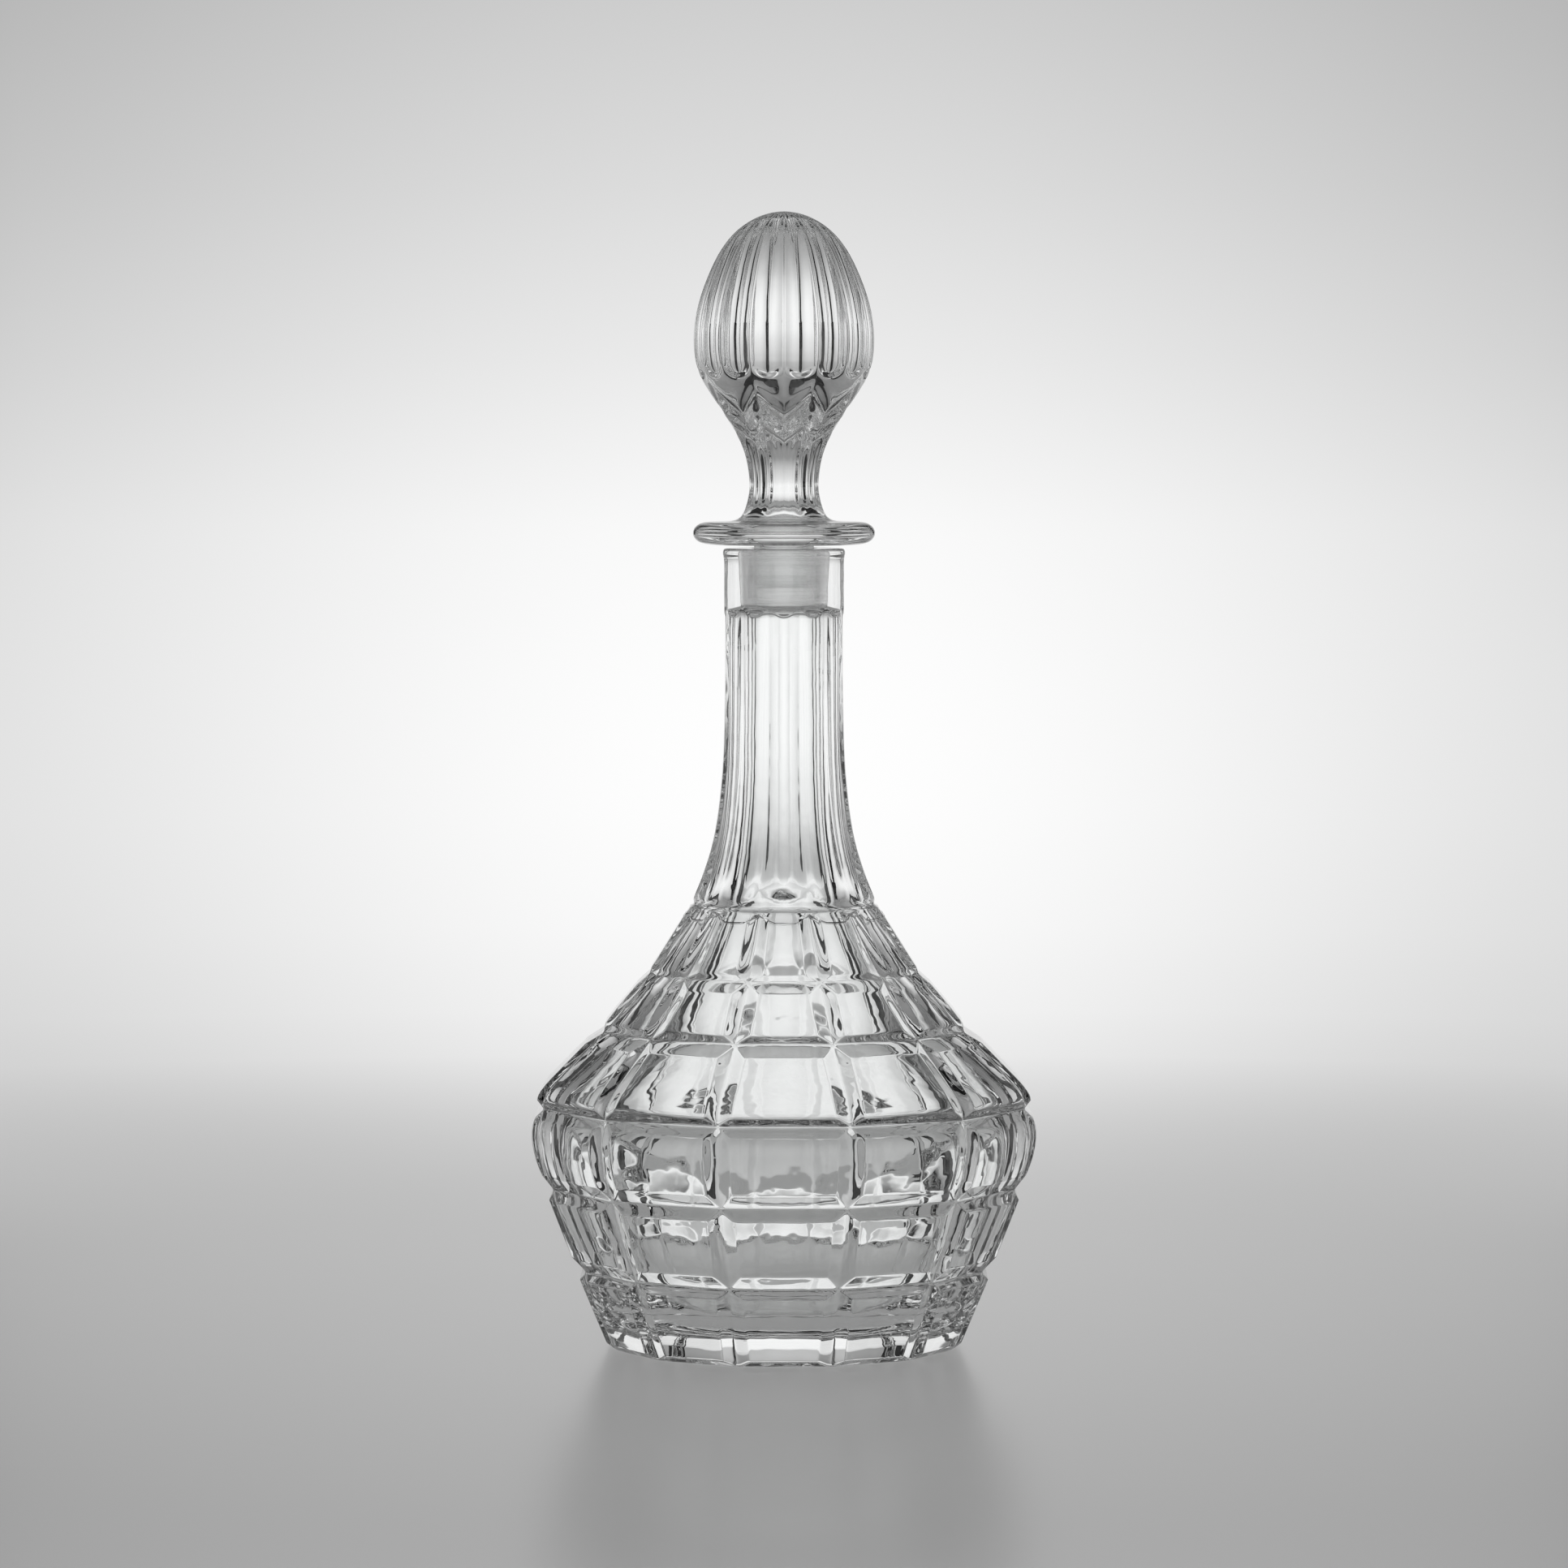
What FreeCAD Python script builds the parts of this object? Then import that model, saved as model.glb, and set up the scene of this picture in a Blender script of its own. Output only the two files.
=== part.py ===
"""Stoppered wine decanter in pressed clear glass.

Two pieces share one origin: the centre of the foot, at table height, +Z up.
  bottle   block-patterned body, panelled neck, round collar, ground seat
  stopper  ribbed egg knob, eight-sided waist, disc, ground plug

All sizes are millimetres and live in the sheet "Sizes". Heights of the block
rows are stored as steps, so a taller row lifts everything above it.
"""
import os
import math

import FreeCAD, Part
import Sketcher

V = FreeCAD.Vector
doc = FreeCAD.newDocument("WineDecanter")
sheet = doc.addObject("Spreadsheet::Sheet", "Sizes")

# ---------------------------------------------------------------- size sheet
_row = 1
for column, title in zip("ABC", ("size", "value (mm)", "what it sets")):
    sheet.set(column + "1", title)


def size(alias, value, note):
    """One line of the sheet: a number is a driving size, '=' a worked-out one."""
    global _row
    _row += 1
    sheet.set("A%d" % _row, alias)
    sheet.set("B%d" % _row, str(value))
    sheet.set("C%d" % _row, note)
    sheet.setAlias("B%d" % _row, alias)


def val(alias):
    return float(sheet.get(alias))


COLUMNS = 12          # block columns round the body, and flats round the neck
HALF_PITCH = 15       # degrees from a block's middle to the groove beside it

# driving sizes of the block pattern
size("groove_depth", 2.1, "depth of the upright grooves below the block faces")
size("bevel_side", 3.6, "sloped side of a block, measured across")
size("bevel_narrow", 2.6, "same, at the narrow top of the highest row")
size("foot_face", 48.4, "foot, centre to the flat of the contact ring")

ROWS = (
    # row, height, lower bevel, upper bevel, ring below, face low, face high
    ("f", 22.6, 1.6, 2.5, None, 50.0, 57.6),
    ("e", 23.4, 3.7, 3.2, 55.6, 59.7, 66.1),
    ("d", 22.8, 3.6, 2.7, 64.6, 67.9, 69.9),
    ("c", 21.1, 1.9, 3.2, 67.3, 69.4, 55.7),
    ("b", 16.2, 2.3, 3.0, 50.6, 50.3, 41.3),
    ("a", 18.5, 1.6, 1.3, 37.9, 37.3, 27.4),
)
for row, height, low, high, ring, face_low, face_high in ROWS:
    size("row_%s_height" % row, height, "row %s, groove to groove" % row)
    size("row_%s_low" % row, low, "height of its lower bevel")
    size("row_%s_high" % row, high, "height of its upper bevel")
    if ring is not None:
        size("row_%s_ring" % row, ring, "axis to the ring groove under the row")
    size("row_%s_face_low" % row, face_low, "axis to the block face, bottom edge")
    size("row_%s_face_high" % row, face_high, "axis to the block face, top edge")
size("row_d_swell_low", 69.7, "row d face, lower third (the faces are bowed)")
size("row_d_swell_high", 71.1, "row d face, widest level of the decanter")
size("row_c_turn", 68.8, "row c face, where it turns over to the shoulder")
size("row_c_slope", 64.0, "row c face, start of the straight shoulder")
size("row_b_turn", 47.0, "row b face, just above its lower edge")

# driving sizes of the neck, collar and inside
size("neck_start", 26.5, "axis to the neck flats at the top of the blocks")
NECK = (
    ("neck_p1", 1.9, 25.8), ("neck_p2", 6.0, 24.0), ("neck_p3", 10.1, 22.5),
    ("neck_p4", 14.2, 21.1), ("neck_p5", 18.3, 19.95), ("neck_p6", 24.6, 18.7),
    ("neck_p7", 33.4, 17.7),
)
for alias, rise, flat in NECK:
    size(alias + "_rise", rise, "height of this neck outline above the blocks")
    size(alias + "_flat", flat, "axis to the neck flats at that height")
size("neck_p8_swell", 0.4, "neck flats a third of the way up the straight part, beyond the top ones")
size("collar_radius", 16.9, "plain round collar below the mouth")
size("flat_depth", 0.4, "how far the neck flats lie inside the collar")
size("flat_end", 0.5, "how far the flats run on inside the collar")
size("flat_tuck", 0.25, "how much they draw in there, so their corners vanish")
size("collar_height", 16.0, "mouth down to the foot of the collar")
size("collar_taper", 3.2, "height over which the collar runs into the flats")
size("collar_foot_step", 0.75, "how far the foot of that taper lies inside the collar")
size("lip_slope", 1.0, "height over which the collar runs out into the mouth rim")
size("collar_lip", 0.35, "how far the mouth rim stands out of the collar")
size("rim_round", 0.9, "rounding of the mouth rim")
size("neck_height", 100.9, "top of the blocks to the mouth")
size("neck_wall", 5.3, "glass between the bore and the neck flats, straight part")
size("seat_shoulder", 1.4, "height of the short slope from the bore in to the ground seat")
size("bore_draft", 0.5, "how much wider the bore is at the bottom of the straight neck")
size("seat_depth", 16.0, "length of the ground seat, from the mouth")
size("floor_height", 10.0, "thickness of the heavy glass foot")
size("dish_depth", 0.9, "hollow of the underside inside the contact ring")
size("dish_radius", 43.0, "radius of that hollow")
size("dish_slope", 6.0, "width of the slope round that hollow")
size("cut_margin", 1.0, "how far a cut runs on past the glass")
CAVITY = (
    # level, surface it follows, glass between that surface and the cavity
    ("cav_p0", "floor_height", "foot_face", 15.4),
    ("cav_p1", "floor_height + floor_rise_1", "foot_face", 9.4),
    ("cav_p2", "floor_height + floor_rise_2", "foot_face", 4.4),
    ("cav_p3", "z_e", "row_e_ring", 5.0),
    ("cav_p4", "z_e + row_e_height / 2", "(row_e_face_low + row_e_face_high) / 2", 6.9),
    ("cav_p5", "z_d", "row_d_ring", 3.7),
    ("cav_p6", "z_d + row_d_height / 2", "row_d_swell_high", 6.9),
    ("cav_p7", "z_c", "row_c_ring", 3.3),
    ("cav_p8", "sec_c3_z", "row_c_slope", 9.9),
    ("cav_p9", "z_b", "row_b_ring", 10.2),
    ("cav_p10", "z_a", "row_a_ring", 10.9),
    ("cav_p11", "z_a + row_a_height / 2", "(row_a_face_low + row_a_face_high) / 2", 11.2),
    ("cav_p12", "z_neck", "neck_start", 10.3),
    ("cav_p13", "neck_p3_z", "neck_p3_flat", 8.9),
    ("cav_p14", "neck_p5_z", "neck_p5_flat", 7.5),
    ("cav_p15", "neck_p6_z", "neck_p6_flat", 6.8),
    ("cav_p16", "neck_p7_z", "neck_p7_flat", 6.2),
)
size("floor_rise_1", 1.2, "rounding of the cavity's floor, first step up")
size("floor_rise_2", 4.2, "rounding of the cavity's floor, second step up")
for alias, level, surface, wall in CAVITY:
    size(alias + "_wall", wall, "glass measured level, outside surface to cavity")
size("bore_start", 40.4, "height above the blocks where the bore turns straight")

# driving sizes of the stopper
size("peg_radius", 8.4, "ground plug at the disc")
size("peg_length", 11.9, "ground plug below the disc")
size("joint_taper", 0.025, "taper of plug and seat, radius per unit of height")
size("joint_clearance", 0.08, "running gap between plug and seat, on radius")
size("rim_gap", 1.0, "gap between the mouth rim and the disc")
size("peg_chamfer", 0.5, "bevel at the lower edge of the plug")
size("disc_radius", 25.7, "disc of the stopper")
size("disc_thickness", 6.4, "thickness of that disc at its round edge")
size("disc_crown", 0.7, "rise of the disc's top towards the waist")
KNOB = (
    # height over the disc's edge, radius to the middle of a flat or rib,
    # share of eight-sidedness, depth of the flutes
    ("knob_p0", -0.8, 13.3, 1.0, 0.0), ("knob_p1", 1.1, 12.1, 1.0, 0.0),
    ("knob_p2", 3.4, 11.0, 1.0, 0.0), ("knob_p3", 6.2, 10.05, 1.0, 0.0),
    ("knob_p4", 10.1, 9.6, 1.0, 0.0), ("knob_p5", 14.1, 9.8, 1.0, 0.0),
    ("knob_p6", 17.3, 10.4, 1.0, 0.0), ("knob_p7", 21.2, 11.55, 1.0, 0.0),
    ("knob_p8", 25.2, 13.6, 1.0, 0.0), ("knob_p9", 30.9, 17.2, 0.95, 0.0),
    ("knob_p10", 36.4, 21.0, 0.6, 0.08), ("knob_p11", 41.9, 24.0, 0.15, 0.35),
    ("knob_p12", 47.2, 25.25, 0.0, 0.8), ("knob_p13", 53.2, 25.45, 0.0, 0.95),
    ("knob_p14", 61, 24.2, 0.0, 0.95), ("knob_p15", 69, 21.4, 0.0, 0.9),
    ("knob_p16", 76.2, 17.8, 0.0, 0.8), ("knob_p17", 81.5, 13.4, 0.0, 0.6),
    ("knob_p18", 84.4, 9.8, 0.0, 0.4), ("knob_p19", 86, 6.7, 0.0, 0.22),
    ("knob_p20", 86.85, 3.9, 0.0, 0.1), ("knob_p21", 87.1, 1.6, 0.0, 0.0),
)
for alias, rise, radius, eight, flute in KNOB:
    size(alias + "_rise", rise, "height of this knob outline above the disc")
    size(alias + "_radius", radius, "axis to the middle of a flat, or to a rib")
    size(alias + "_eight", eight, "1 = eight flats, 0 = round (a ratio)")
    size(alias + "_flute", flute, "depth of the sixteen flutes")

# worked-out levels of the body
level = "0"
for row, *_ in ROWS:
    size("z_%s" % row, "=" + level, "ring groove under row %s" % row)
    level = "z_%s + row_%s_height" % (row, row)
size("z_neck", "=" + level, "top of the block pattern")
size("z_mouth", "=z_neck + neck_height", "mouth of the bottle")
size("z_seat", "=z_mouth - seat_depth", "bottom of the ground seat")
size("z_bore", "=z_neck + bore_start", "bottom of the straight bore")
size("z_disc", "=z_mouth + rim_gap", "underside of the stopper's disc")
size("z_peg", "=z_disc - peg_length", "bottom of the ground plug")

# every outline of the body: height, axis to face, axis to groove, half a face
SECTIONS = []


def section(tag, height, face, bevel, ring=False):
    """Write the three sizes of one body outline into the sheet."""
    tag = "sec_%s" % tag
    size(tag + "_z", "=" + height, "height of this body outline")
    size(tag + "_face", "=" + face, "axis to the block face there")
    # a ring outline is a plain twelve-sided figure: groove and face level out
    drop = "0" if ring else "groove_depth"
    size(tag + "_groove", "=%s_face - %s" % (tag, drop), "axis to the groove, across its chord")
    half = "%s_groove * tan(%d deg) - %s" % (tag, HALF_PITCH, bevel)
    size(tag + "_half", "=" + half, "half the width of the flat face")
    size(tag + "_corner", "=%s_groove / cos(%d deg)" % (tag, HALF_PITCH), "axis to the groove's line")
    SECTIONS.append(tag)


size("ring_tuck", 0.35, "how far a bevel's foot stops short of the groove corner")
section("f0", "z_f", "foot_face", "bevel_side")
section("f1", "z_f + row_f_low", "row_f_face_low", "bevel_side")
section("f2", "z_e - row_f_high", "row_f_face_high", "bevel_side")
for row, above in (("e", "d"), ("d", "c"), ("c", "b"), ("b", "a"), ("a", "neck")):
    section("%s0" % row, "z_%s" % row, "row_%s_ring" % row, "ring_tuck", ring=True)
    section("%s1" % row, "z_%s + row_%s_low" % (row, row), "row_%s_face_low" % row, "bevel_side")
    if row == "d":
        section("d2", "z_d + 0.34 * row_d_height", "row_d_swell_low", "bevel_side")
        section("d3", "z_d + 0.68 * row_d_height", "row_d_swell_high", "bevel_side")
    if row == "c":
        section("c2", "z_c + 0.20 * row_c_height", "row_c_turn", "bevel_side")
        section("c3", "z_c + 0.455 * row_c_height", "row_c_slope", "bevel_side")
    if row == "b":
        section("b2", "z_b + 0.40 * row_b_height", "row_b_turn", "bevel_side")
    section("%s9" % row, "z_%s - row_%s_high" % (above, row), "row_%s_face_high" % row,
            "bevel_narrow" if row == "a" else "bevel_side")
section("n0", "z_neck", "neck_start", "ring_tuck", ring=True)
doc.recompute()


# ------------------------------------------------------------------- helpers
def new_body(name):
    body = doc.addObject("PartDesign::Body", name)
    planes = {o.Role: o for o in body.Origin.OriginFeatures}
    return body, planes["XY_Plane"], planes["XZ_Plane"]


def sketch_on(body, plane, name, z_alias=None):
    sk = body.newObject("Sketcher::SketchObject", name)
    sk.AttachmentSupport = [(plane, "")]
    sk.MapMode = "FlatFace"
    if z_alias:
        sk.setExpression(".AttachmentOffset.Base.z", "Sizes." + z_alias)
    sk.Visibility = False
    return sk


def fix_points(sk, exprs, points):
    """Pin the start of every edge in a closed chain to its two expressions."""
    n = len(points)
    cons = [Sketcher.Constraint("Coincident", i, 2, (i + 1) % n, 1) for i in range(n)]
    bound = []
    for i, ((ex, ey), (px, py)) in enumerate(zip(exprs, points)):
        if ex is None:
            cons.append(Sketcher.Constraint("PointOnObject", i, 1, -2))
        else:
            bound.append((len(cons), ex))
            cons.append(Sketcher.Constraint("DistanceX", -1, 1, i, 1, px))
        if ey is None:
            cons.append(Sketcher.Constraint("PointOnObject", i, 1, -1))
        else:
            bound.append((len(cons), ey))
            cons.append(Sketcher.Constraint("DistanceY", -1, 1, i, 1, py))
    sk.addConstraint(cons)
    for index, expr in bound:
        sk.setExpression("Constraints[%d]" % index, expr)


def closed_outline(body, plane, name, z_alias, exprs, points):
    """A straight-edged closed outline at one height."""
    sk = sketch_on(body, plane, name, z_alias)
    n = len(points)
    sk.addGeometry([Part.LineSegment(V(*points[i], 0), V(*points[(i + 1) % n], 0))
                    for i in range(n)], False)
    fix_points(sk, exprs, points)
    return sk


def circle_outline(body, plane, name, z_alias, radius_alias):
    sk = sketch_on(body, plane, name, z_alias)
    sk.addGeometry(Part.Circle(V(0, 0, 0), V(0, 0, 1), val(radius_alias)), False)
    sk.addConstraint([Sketcher.Constraint("Coincident", 0, 3, -1, 1),
                      Sketcher.Constraint("Radius", 0, val(radius_alias))])
    sk.setExpression("Constraints[1]", "Sizes." + radius_alias)
    return sk


def side_profile(body, plane, name, chain):
    """Closed half-profile for a turned feature.

    chain holds (x, z, bulge) with x and z as formulas of the sheet's names;
    bulge is None for a straight edge to the next point, or (radius, sign) for
    a quarter round: sign +1 has its centre on the left of the way there.
    """
    sk = sketch_on(body, plane, name)
    scratch = []
    for x, z, _ in chain:
        scratch.append((value_of(x), value_of(z)))
    n = len(chain)
    geometry, rounds = [], []
    for i, (x, z, bulge) in enumerate(chain):
        (ax, ay), (bx, by) = scratch[i], scratch[(i + 1) % n]
        if bulge is None:
            geometry.append(Part.LineSegment(V(ax, ay, 0), V(bx, by, 0)))
            continue
        radius, sign = value_of(bulge[0]), bulge[1]
        mx, my, dx, dy = (ax + bx) / 2, (ay + by) / 2, bx - ax, by - ay
        length = math.hypot(dx, dy)
        rise = math.sqrt(max(radius ** 2 - length ** 2 / 4, 0.0))
        cx, cy = mx - sign * dy / length * rise, my + sign * dx / length * rise
        # the middle of the round, on the side away from its centre
        ex, ey = mx - cx, my - cy
        reach = math.hypot(ex, ey)
        mid = V(cx + ex / reach * radius, cy + ey / reach * radius, 0)
        geometry.append(Part.Arc(V(ax, ay, 0), mid, V(bx, by, 0)))
        rounds.append((i, bulge[0], radius))
    sk.addGeometry(geometry, False)
    # an arc may be stored the other way round, so ends are matched by position
    ends = []
    for i in range(n):
        start = sk.getPoint(i, 1)
        near = abs(start.x - scratch[i][0]) + abs(start.y - scratch[i][1]) < 1e-6
        ends.append((1, 2) if near else (2, 1))
    cons, bound = [], []
    for i in range(n):
        cons.append(Sketcher.Constraint("Coincident", i, ends[i][1], (i + 1) % n, ends[(i + 1) % n][0]))
    for i, (x, z, _) in enumerate(chain):
        if x == "0":
            cons.append(Sketcher.Constraint("PointOnObject", i, ends[i][0], -2))
        else:
            bound.append((len(cons), x))
            cons.append(Sketcher.Constraint("DistanceX", -1, 1, i, ends[i][0], scratch[i][0]))
        if z == "0":
            cons.append(Sketcher.Constraint("PointOnObject", i, ends[i][0], -1))
        else:
            bound.append((len(cons), z))
            cons.append(Sketcher.Constraint("DistanceY", -1, 1, i, ends[i][0], scratch[i][1]))
    for i, formula, radius in rounds:
        bound.append((len(cons), formula))
        cons.append(Sketcher.Constraint("Radius", i, radius))
    sk.addConstraint(cons)
    for index, formula in bound:
        sk.setExpression("Constraints[%d]" % index, named(formula))
    return sk


def named(formula):
    """Put 'Sizes.' before every sheet name in a short formula."""
    words = formula.split(" ")
    return " ".join("Sizes." + w if w[:1].isalpha() and w not in ("cos", "sin", "tan", "deg") else w
                    for w in words)


def value_of(formula):
    """Starting value of a short formula: names, numbers, + - * / with spaces."""
    words = formula.split(" ")
    numbers = [w if w in "+-*/" else (val(w) if w[:1].isalpha() else float(w)) for w in words]
    # products first, then sums, left to right
    out = [numbers[0]]
    for operator, number in zip(numbers[1::2], numbers[2::2]):
        if operator == "*":
            out[-1] = out[-1] * number
        elif operator == "/":
            out[-1] = out[-1] / number
        else:
            out.append(number if operator == "+" else -number)
    return sum(out)


def turned(body, kind, name, sk):
    feature = body.newObject("PartDesign::" + kind, name)
    feature.Profile = sk
    feature.ReferenceAxis = (sk, ["V_Axis"])
    feature.Angle = 360
    feature.Refine = False
    return feature


def lofted(body, kind, name, outlines, ruled):
    feature = body.newObject("PartDesign::" + kind, name)
    feature.Profile = outlines[0]
    feature.Sections = outlines[1:]
    feature.Ruled = ruled
    feature.Refine = False
    return feature


# -------------------------------------------------------------------- bottle
bottle, xy, xz = new_body("bottle")


def block_outline(tag):
    """Twelve faces with a groove between each pair, at one height."""
    face, half, corner = (val(tag + s) for s in ("_face", "_half", "_corner"))
    exprs, points = [], []
    for i in range(COLUMNS):
        turn = 360.0 / COLUMNS * i
        for side in (-1, 1):
            c, s = math.cos(math.radians(turn)), math.sin(math.radians(turn))
            points.append((face * c - side * half * s, face * s + side * half * c))
            exprs.append((
                "Sizes.%s_face * cos(%g deg) - %d * Sizes.%s_half * sin(%g deg)" % (tag, turn, side, tag, turn),
                "Sizes.%s_face * sin(%g deg) + %d * Sizes.%s_half * cos(%g deg)" % (tag, turn, side, tag, turn)))
        a = turn + HALF_PITCH
        points.append((corner * math.cos(math.radians(a)), corner * math.sin(math.radians(a))))
        exprs.append(("Sizes.%s_corner * cos(%g deg)" % (tag, a), "Sizes.%s_corner * sin(%g deg)" % (tag, a)))
    return closed_outline(bottle, xy, "outline_" + tag[4:], tag + "_z", exprs, points)


lofted(bottle, "AdditiveLoft", "block_body", [block_outline(t) for t in SECTIONS], True)


def flat_outline(name, z_alias, flat_alias):
    """Plain twelve-sided outline of the neck, its flats in line with the blocks."""
    exprs, points = [], []
    for i in range(COLUMNS):
        a = 360.0 / COLUMNS * i + HALF_PITCH
        r = val(flat_alias) / math.cos(math.radians(HALF_PITCH))
        points.append((r * math.cos(math.radians(a)), r * math.sin(math.radians(a))))
        exprs.append(tuple("Sizes.%s / cos(%d deg) * %s(%g deg)" % (flat_alias, HALF_PITCH, f, a)
                           for f in ("cos", "sin")))
    return closed_outline(bottle, xy, name, z_alias, exprs, points)


for alias, rise, flat in NECK:
    size(alias + "_z", "=z_neck + %s_rise" % alias, "height of this neck outline")
# the straight part ends under the collar, so a longer neck stretches only there
size("neck_p10_z", "=z_mouth - collar_height - collar_taper - flat_end", "flats, just under the collar")
size("neck_p8_z", "=neck_p7_z + (neck_p10_z - neck_p7_z) / 3", "flats, lower straight part")
size("neck_p9_z", "=neck_p7_z + (neck_p10_z - neck_p7_z) * 2 / 3", "flats, upper straight part")
size("neck_p11_z", "=z_mouth - collar_height + flat_end", "end of the flats, inside the collar")
size("neck_p8_flat", "=neck_p9_flat + neck_p8_swell", "axis to the flats there")
size("neck_p9_flat", "=collar_radius - flat_depth", "axis to the flats there")
size("neck_p10_flat", "=neck_p9_flat", "axis to the flats there")
size("neck_p11_flat", "=neck_p9_flat - flat_tuck", "axis to the flats there")
doc.recompute()
LEVELS = ["neck_p%d" % i for i in range(1, 12)]
neck = [flat_outline("outline_neck_start", "z_neck", "neck_start")]
neck += [flat_outline("outline_" + alias, alias + "_z", alias + "_flat") for alias in LEVELS]
lofted(bottle, "AdditiveLoft", "panelled_neck", neck, False)

# round collar: straight above, a slim cone below that meets each flat in a scallop
collar = side_profile(bottle, xz, "profile_collar", [
    ("0", "z_mouth - collar_height - collar_taper", None),
    ("collar_radius - collar_foot_step", "z_mouth - collar_height - collar_taper", None),
    ("collar_radius", "z_mouth - collar_height", None),
    ("collar_radius", "z_mouth - 2 * rim_round - lip_slope", None),
    ("collar_radius + collar_lip", "z_mouth - 2 * rim_round", None),
    ("collar_radius + collar_lip", "z_mouth - rim_round", ("rim_round", 1)),
    ("collar_radius + collar_lip - rim_round", "z_mouth", None),
    ("0", "z_mouth", None),
])
turned(bottle, "Revolution", "round_collar", collar)

# the ground joint: plug and seat share one taper and one clearance
size("seat_low_radius", "=peg_radius + joint_clearance - (z_disc - z_seat) * joint_taper", "ground seat, bottom")
size("seat_high_radius", "=peg_radius + joint_clearance - (rim_gap + rim_round) * joint_taper",
     "ground seat, where the mouth's rounding starts")
size("peg_low_radius", "=peg_radius - (peg_length - peg_chamfer) * joint_taper", "ground plug, at its chamfer")
size("bore_radius", "=neck_p9_flat - neck_wall", "bore of the neck, below the ground seat")
size("bore_low_radius", "=bore_radius + bore_draft", "bore at the bottom of the straight neck")

# inside: rounded cavity that follows the outside at each level, up to the bore
for alias, level, surface, wall in CAVITY:
    size(alias + "_z", "=" + level, "height of this inside outline")
    size(alias + "_radius", "=%s - %s_wall" % (surface, alias), "inside radius there")
doc.recompute()
inside = [circle_outline(bottle, xy, "inside_" + entry[0], entry[0] + "_z", entry[0] + "_radius")
          for entry in CAVITY]
inside.append(circle_outline(bottle, xy, "inside_bore", "z_bore", "bore_low_radius"))
lofted(bottle, "SubtractiveLoft", "wine_cavity", inside, False)

# bore, the short slope in to the ground seat, and the eased mouth
bore = side_profile(bottle, xz, "profile_bore", [
    ("0", "z_bore", None),
    ("bore_low_radius", "z_bore", None),
    ("bore_radius", "z_seat - seat_shoulder", None),
    ("seat_low_radius", "z_seat", None),
    ("seat_high_radius", "z_mouth - rim_round", ("rim_round", -1)),
    ("seat_high_radius + rim_round", "z_mouth", None),
    ("seat_high_radius + rim_round", "z_mouth + cut_margin", None),
    ("0", "z_mouth + cut_margin", None),
])
turned(bottle, "Groove", "bore_and_seat", bore)

dish = side_profile(bottle, xz, "profile_dish", [
    ("0", "0 - cut_margin", None),
    ("dish_radius", "0 - cut_margin", None),
    ("dish_radius", "0", None),
    ("dish_radius - dish_slope", "dish_depth", None),
    ("0", "dish_depth", None),
])
turned(bottle, "Groove", "foot_hollow", dish)

# ------------------------------------------------------------------- stopper
stopper, xy, xz = new_body("stopper")

disc = side_profile(stopper, xz, "profile_disc", [
    ("0", "z_peg", None),
    ("peg_low_radius - peg_chamfer", "z_peg", None),
    ("peg_low_radius", "z_peg + peg_chamfer", None),
    ("peg_radius", "z_disc", None),
    ("disc_radius - disc_thickness / 2", "z_disc", ("disc_thickness / 2", 1)),
    ("disc_radius", "z_disc + disc_thickness / 2", ("disc_thickness / 2", 1)),
    ("disc_radius - disc_thickness / 2", "z_disc + disc_thickness", None),
    ("0", "z_disc + disc_thickness + disc_crown", None),
])
turned(stopper, "Revolution", "disc_and_plug", disc)

for alias, rise, radius, eight, flute in KNOB:
    size(alias + "_z", "=z_disc + disc_thickness + %s_rise" % alias, "height of this knob outline")
    size(alias + "_edge", "=%s_radius * (1 + %s_eight * (1 / cos(22.5 deg) - 1))" % (alias, alias),
         "axis to the corner between two flats")
    size(alias + "_side", "=%s_radius * (1 + %s_eight * (1 / cos(11.25 deg) - 1)) - %s_flute" % (alias, alias, alias),
         "axis to the bottom of a flute")
doc.recompute()


def knob_outline(alias):
    """Thirty-two corners: middles of flats, corners of flats, and flutes between."""
    exprs, points = [], []
    for k in range(32):
        a = 11.25 * k
        source = alias + ("_side" if k % 2 else ("_edge" if k % 4 else "_radius"))
        r = val(source)
        points.append((r * math.cos(math.radians(a)), r * math.sin(math.radians(a))))
        exprs.append((None if k in (8, 24) else "Sizes.%s * cos(%g deg)" % (source, a),
                      None if k in (0, 16) else "Sizes.%s * sin(%g deg)" % (source, a)))
    return closed_outline(stopper, xy, "outline_" + alias, alias + "_z", exprs, points)


lofted(stopper, "AdditiveLoft", "ribbed_knob", [knob_outline(k[0]) for k in KNOB], False)

doc.recompute()

# ------------------------------------------------------------ check and write
for obj in doc.Objects:
    bad = [s for s in obj.State if s in ("Invalid", "Error")]
    if bad:
        raise RuntimeError("%s did not rebuild: %s" % (obj.Name, obj.State))
os.makedirs("parts", exist_ok=True)
for body in (bottle, stopper):
    shape = body.Shape
    if shape.isNull() or not shape.isValid() or len(shape.Solids) != 1:
        raise RuntimeError("%s is not one sound solid" % body.Name)
    box = shape.BoundBox
    print("%s: %d faces, %.1f cm3, x %.2f..%.2f z %.2f..%.2f" % (
        body.Name, len(shape.Faces), shape.Volume / 1000, box.XMin, box.XMax, box.ZMin, box.ZMax))
    shape.exportStep("parts/%s.step" % body.Name)
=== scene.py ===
"""Looks of a stoppered wine decanter in pressed clear glass.

Builds the blown and pressed bottle, its solid stopper and a pale studio tent
round them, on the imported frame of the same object.
"""
import math

import bmesh
import bpy
from mathutils import Matrix, Vector, noise


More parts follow.
